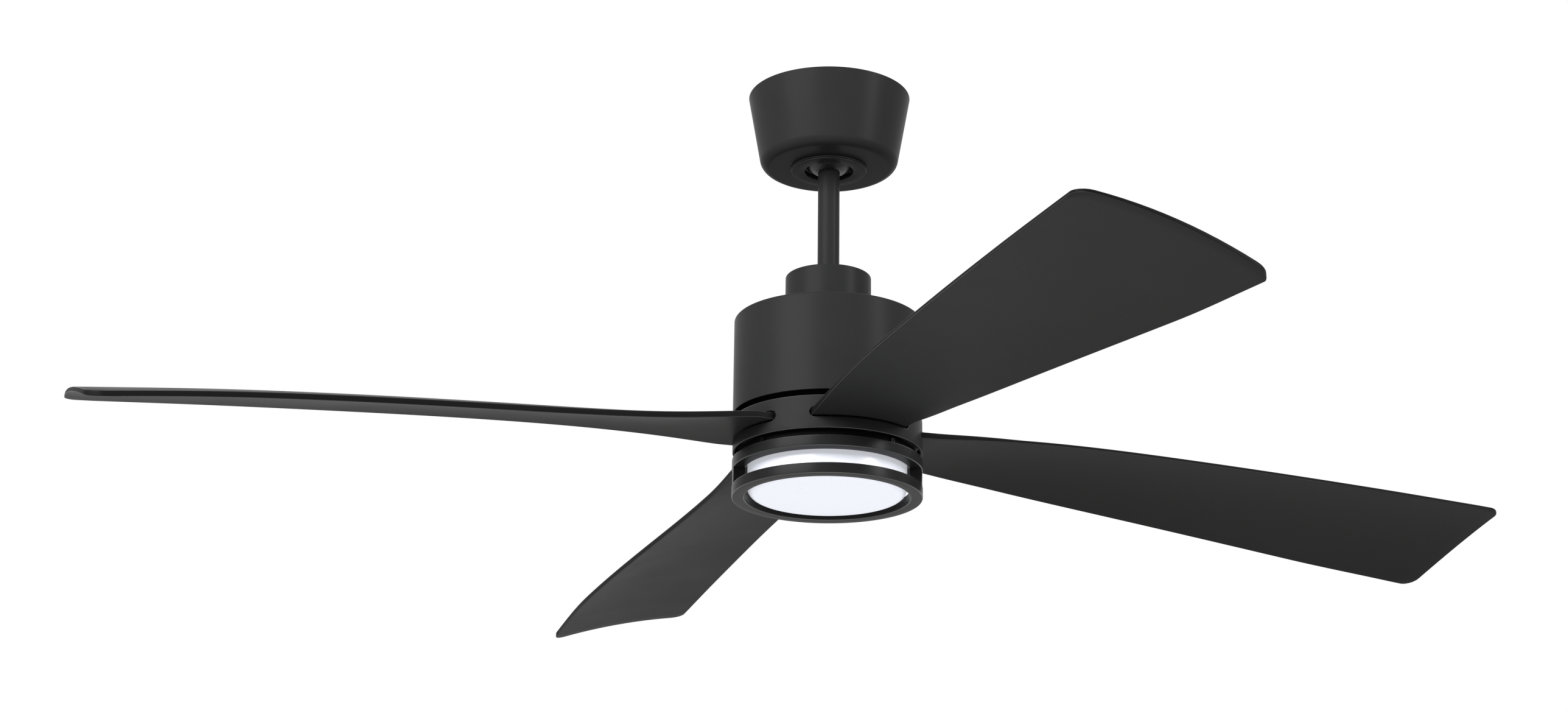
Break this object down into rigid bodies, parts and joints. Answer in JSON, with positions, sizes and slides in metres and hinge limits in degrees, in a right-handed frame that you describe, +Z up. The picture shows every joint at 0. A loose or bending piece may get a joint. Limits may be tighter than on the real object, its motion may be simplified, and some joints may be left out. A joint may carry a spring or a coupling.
{
  "type": "ceiling fan with light",
  "caption": "Matt black ceiling fan on a short downrod, with moulded blades in a slotted rotor ring and a flat round light in a two-ring cage.",
  "frame": {"origin": "centre of the ceiling plane, on the flat top of the hanger bracket's plate", "axes": "+Z up, out of the ceiling face and along the downrod; -Y towards the side that the picture shows; +X to its right"},
  "size_m": [1.3584, 1.3584, 0.414],
  "materials": {
    "black_paint": "matt black powder coat",
    "black_plastic": "matt black moulded plastic",
    "opal_plastic": "opal white diffusing plastic",
    "zinc_steel": "bright zinc plate",
    "cast_iron": "black painted casting",
    "aluminium": "plain die cast or pressed",
    "copper_wire": "enamelled copper wire",
    "laminations": "stacked electrical steel",
    "grey_plastic": "grey moulded case",
    "white_plastic": "white moulded case",
    "lead_sheath": "white flexible sheath"
  },
  "bodies": {
    "mount": {"hanger_bracket": "zinc_steel", "receiver_box": "grey_plastic"},
    "canopy": {"canopy": "black_paint", "canopy_trim_ring": "black_paint", "canopy_screw_1": "zinc_steel", "canopy_screw_2": "zinc_steel"},
    "hanging": {"hanger_ball": "cast_iron", "ball_pin": "zinc_steel", "ball_set_screw": "zinc_steel", "downrod": "black_paint", "motor_lead": "lead_sheath", "motor_yoke": "cast_iron", "yoke_pin": "zinc_steel", "yoke_clip": "zinc_steel", "yoke_set_screw": "zinc_steel", "motor_housing": "black_paint", "housing_screw_1": "zinc_steel", "housing_screw_2": "zinc_steel", "housing_screw_3": "zinc_steel", "motor_shaft": "zinc_steel", "stator_core": "laminations", "stator_windings": "copper_wire", "light_tray": "aluminium", "shaft_nut": "zinc_steel", "led_driver": "white_plastic", "led_board": "aluminium", "board_screw_1": "zinc_steel", "board_screw_2": "zinc_steel", "board_screw_3": "zinc_steel", "light_cage": "black_paint", "cage_screw_1": "zinc_steel", "cage_screw_2": "zinc_steel", "cage_screw_3": "zinc_steel", "cage_screw_4": "zinc_steel"},
    "coupling_cover": {"coupling_cover": "black_paint"},
    "rotor": {"rotor_case_upper": "aluminium", "rotor_case_lower": "aluminium", "magnet_ring": "laminations", "bearing_upper": "zinc_steel", "bearing_lower": "zinc_steel", "ring_carrier": "zinc_steel", "rotor_ring": "black_paint", "ring_screw_1": "zinc_steel", "ring_screw_2": "zinc_steel", "ring_screw_3": "zinc_steel", "ring_screw_4": "zinc_steel", "blade_1": "black_plastic", "blade_screw_1_1": "zinc_steel", "blade_screw_1_2": "zinc_steel", "blade_2": "black_plastic", "blade_screw_2_1": "zinc_steel", "blade_screw_2_2": "zinc_steel", "blade_3": "black_plastic", "blade_screw_3_1": "zinc_steel", "blade_screw_3_2": "zinc_steel", "blade_4": "black_plastic", "blade_screw_4_1": "zinc_steel", "blade_screw_4_2": "zinc_steel"},
    "diffuser": {"diffuser": "opal_plastic"}
  },
  "joints": [
    {"name": "canopy_slide", "type": "slide", "parent": "mount", "child": "canopy", "axis": [0, 0, -1], "range_m": [0, 0.045]},
    {"name": "downrod_swing", "type": "hinge", "parent": "mount", "child": "hanging", "pos_m": [0, 0, -0.05164], "axis": [0, 1, 0], "range_deg": [-10, 10]},
    {"name": "cover_slide", "type": "slide", "parent": "hanging", "child": "coupling_cover", "axis": [0, 0, 1], "range_m": [0, 0.03]},
    {"name": "rotor_spin", "type": "hinge", "parent": "hanging", "child": "rotor", "pos_m": [0, 0, -0.3169], "axis": [0, 0, 1], "continuous": true},
    {"name": "diffuser_twist", "type": "hinge", "parent": "hanging", "child": "diffuser", "pos_m": [0, 0, -0.395], "axis": [0, 0, 1], "range_deg": [0, 30]}
  ]
}
